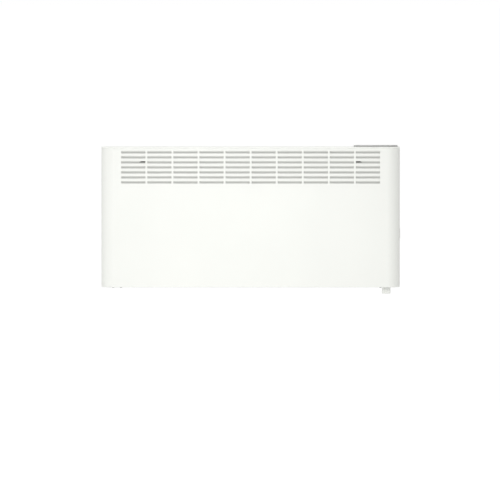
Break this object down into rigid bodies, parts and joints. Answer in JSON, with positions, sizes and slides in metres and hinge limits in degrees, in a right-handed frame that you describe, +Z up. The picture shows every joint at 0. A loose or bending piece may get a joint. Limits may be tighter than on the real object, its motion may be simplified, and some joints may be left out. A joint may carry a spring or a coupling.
{
  "type": "wall convector heater",
  "caption": "Electric wall convector heater: folded white steel casing with louvred front outlet, top controls, side switch and a lockable wall bracket.",
  "frame": {"origin": "centre of the bracket's four wall screw holes, on the wall plane", "axes": "+X along the casing to the right seen from the room, +Y into the wall, +Z up; the front faces -Y"},
  "size_m": [0.8949, 0.1, 0.4453],
  "materials": {
    "powder_white": "fine powder coat, satin",
    "zinc_steel": "galvanised sheet with spangle",
    "plain_steel": "zinc plated",
    "tube_steel": "stainless tube with heat tint",
    "fin_aluminium": "rolled",
    "ceramic": "unglazed ceramic",
    "black_plastic": "fine grain",
    "black_rubber": "matt",
    "grey_plastic": "fine spark-eroded grain",
    "pale_plastic": "fine spark-eroded grain",
    "key_plastic": "satin",
    "display_glass": "polished",
    "lcd": "display glass and frame",
    "circuit_board": "solder mask",
    "component_plastic": "moulded",
    "white_plastic": "moulded",
    "brass": "stamped",
    "lead_insulation": "extruded"
  },
  "bodies": {
    "heater": {"front_casing": "powder_white", "top_cover": "powder_white", "louvre_insert": "powder_white", "rear_panel": "zinc_steel", "bottom_grille": "zinc_steel", "bracket_rail": "zinc_steel", "bracket_arm_left": "zinc_steel", "bracket_arm_right": "zinc_steel", "bracket_rivets": "plain_steel", "wall_spacers": "pale_plastic", "spacer_tips": "black_rubber", "heat_shield": "zinc_steel", "air_deflector": "zinc_steel", "left_end_plate": "zinc_steel", "partition_plate": "zinc_steel", "heating_tube": "tube_steel", "element_fins": "fin_aluminium", "tube_bushings": "ceramic", "tube_terminals": "ceramic", "limiter_bracket": "zinc_steel", "thermal_limiter": "black_plastic", "thermal_fuse": "zinc_steel", "control_housing": "grey_plastic", "control_tray": "black_plastic", "display_lens": "display_glass", "lcd_module": "lcd", "control_board": "circuit_board", "key_switches": "black_plastic", "power_board": "circuit_board", "board_relay": "component_plastic", "board_transformer": "component_plastic", "board_capacitors": "component_plastic", "board_fuse": "ceramic", "board_headers": "white_plastic", "heat_sink": "fin_aluminium", "board_standoffs": "white_plastic", "board_screws": "plain_steel", "terminal_block": "white_plastic", "terminal_screws": "plain_steel", "switch_housing": "grey_plastic", "switch_tabs": "brass", "cable_gland": "black_plastic", "gland_nut": "black_plastic", "sensor_housing": "pale_plastic", "temperature_sensor": "circuit_board", "mains_leads": "lead_insulation", "element_leads": "lead_insulation", "limiter_leads": "lead_insulation", "sensor_lead": "lead_insulation", "control_ribbon": "lead_insulation", "earth_stud": "plain_steel", "casing_screws": "plain_steel", "cover_screws": "plain_steel"},
    "rocker": {"switch_rocker": "key_plastic"},
    "key_menu": {"key_menu": "key_plastic"},
    "key_minus": {"key_minus": "key_plastic"},
    "key_plus": {"key_plus": "key_plastic"},
    "key_ok": {"key_ok": "key_plastic"},
    "lock_left": {"lock_left": "black_plastic"},
    "lock_right": {"lock_right": "black_plastic"}
  },
  "joints": [
    {"name": "rocker_tilt", "type": "hinge", "parent": "heater", "child": "rocker", "pos_m": [0.442, -0.04, -0.213], "axis": [0, 1, 0], "range_deg": [0, 14]},
    {"name": "key_menu_press", "type": "slide", "parent": "heater", "child": "key_menu", "axis": [0, 0, -1], "range_m": [0, 0.0008], "stiffness_N_per_m": 400},
    {"name": "key_minus_press", "type": "slide", "parent": "heater", "child": "key_minus", "axis": [0, 0, -1], "range_m": [0, 0.0008], "stiffness_N_per_m": 400},
    {"name": "key_plus_press", "type": "slide", "parent": "heater", "child": "key_plus", "axis": [0, 0, -1], "range_m": [0, 0.0008], "stiffness_N_per_m": 400},
    {"name": "key_ok_press", "type": "slide", "parent": "heater", "child": "key_ok", "axis": [0, 0, -1], "range_m": [0, 0.0008], "stiffness_N_per_m": 400},
    {"name": "lock_left_turn", "type": "hinge", "parent": "heater", "child": "lock_left", "pos_m": [-0.32435, -0.016, 0.0035], "axis": [0, 1, 0], "range_deg": [0, 90]},
    {"name": "lock_right_turn", "type": "hinge", "parent": "heater", "child": "lock_right", "pos_m": [0.32435, -0.016, 0.0035], "axis": [0, 1, 0], "range_deg": [0, 90]}
  ]
}
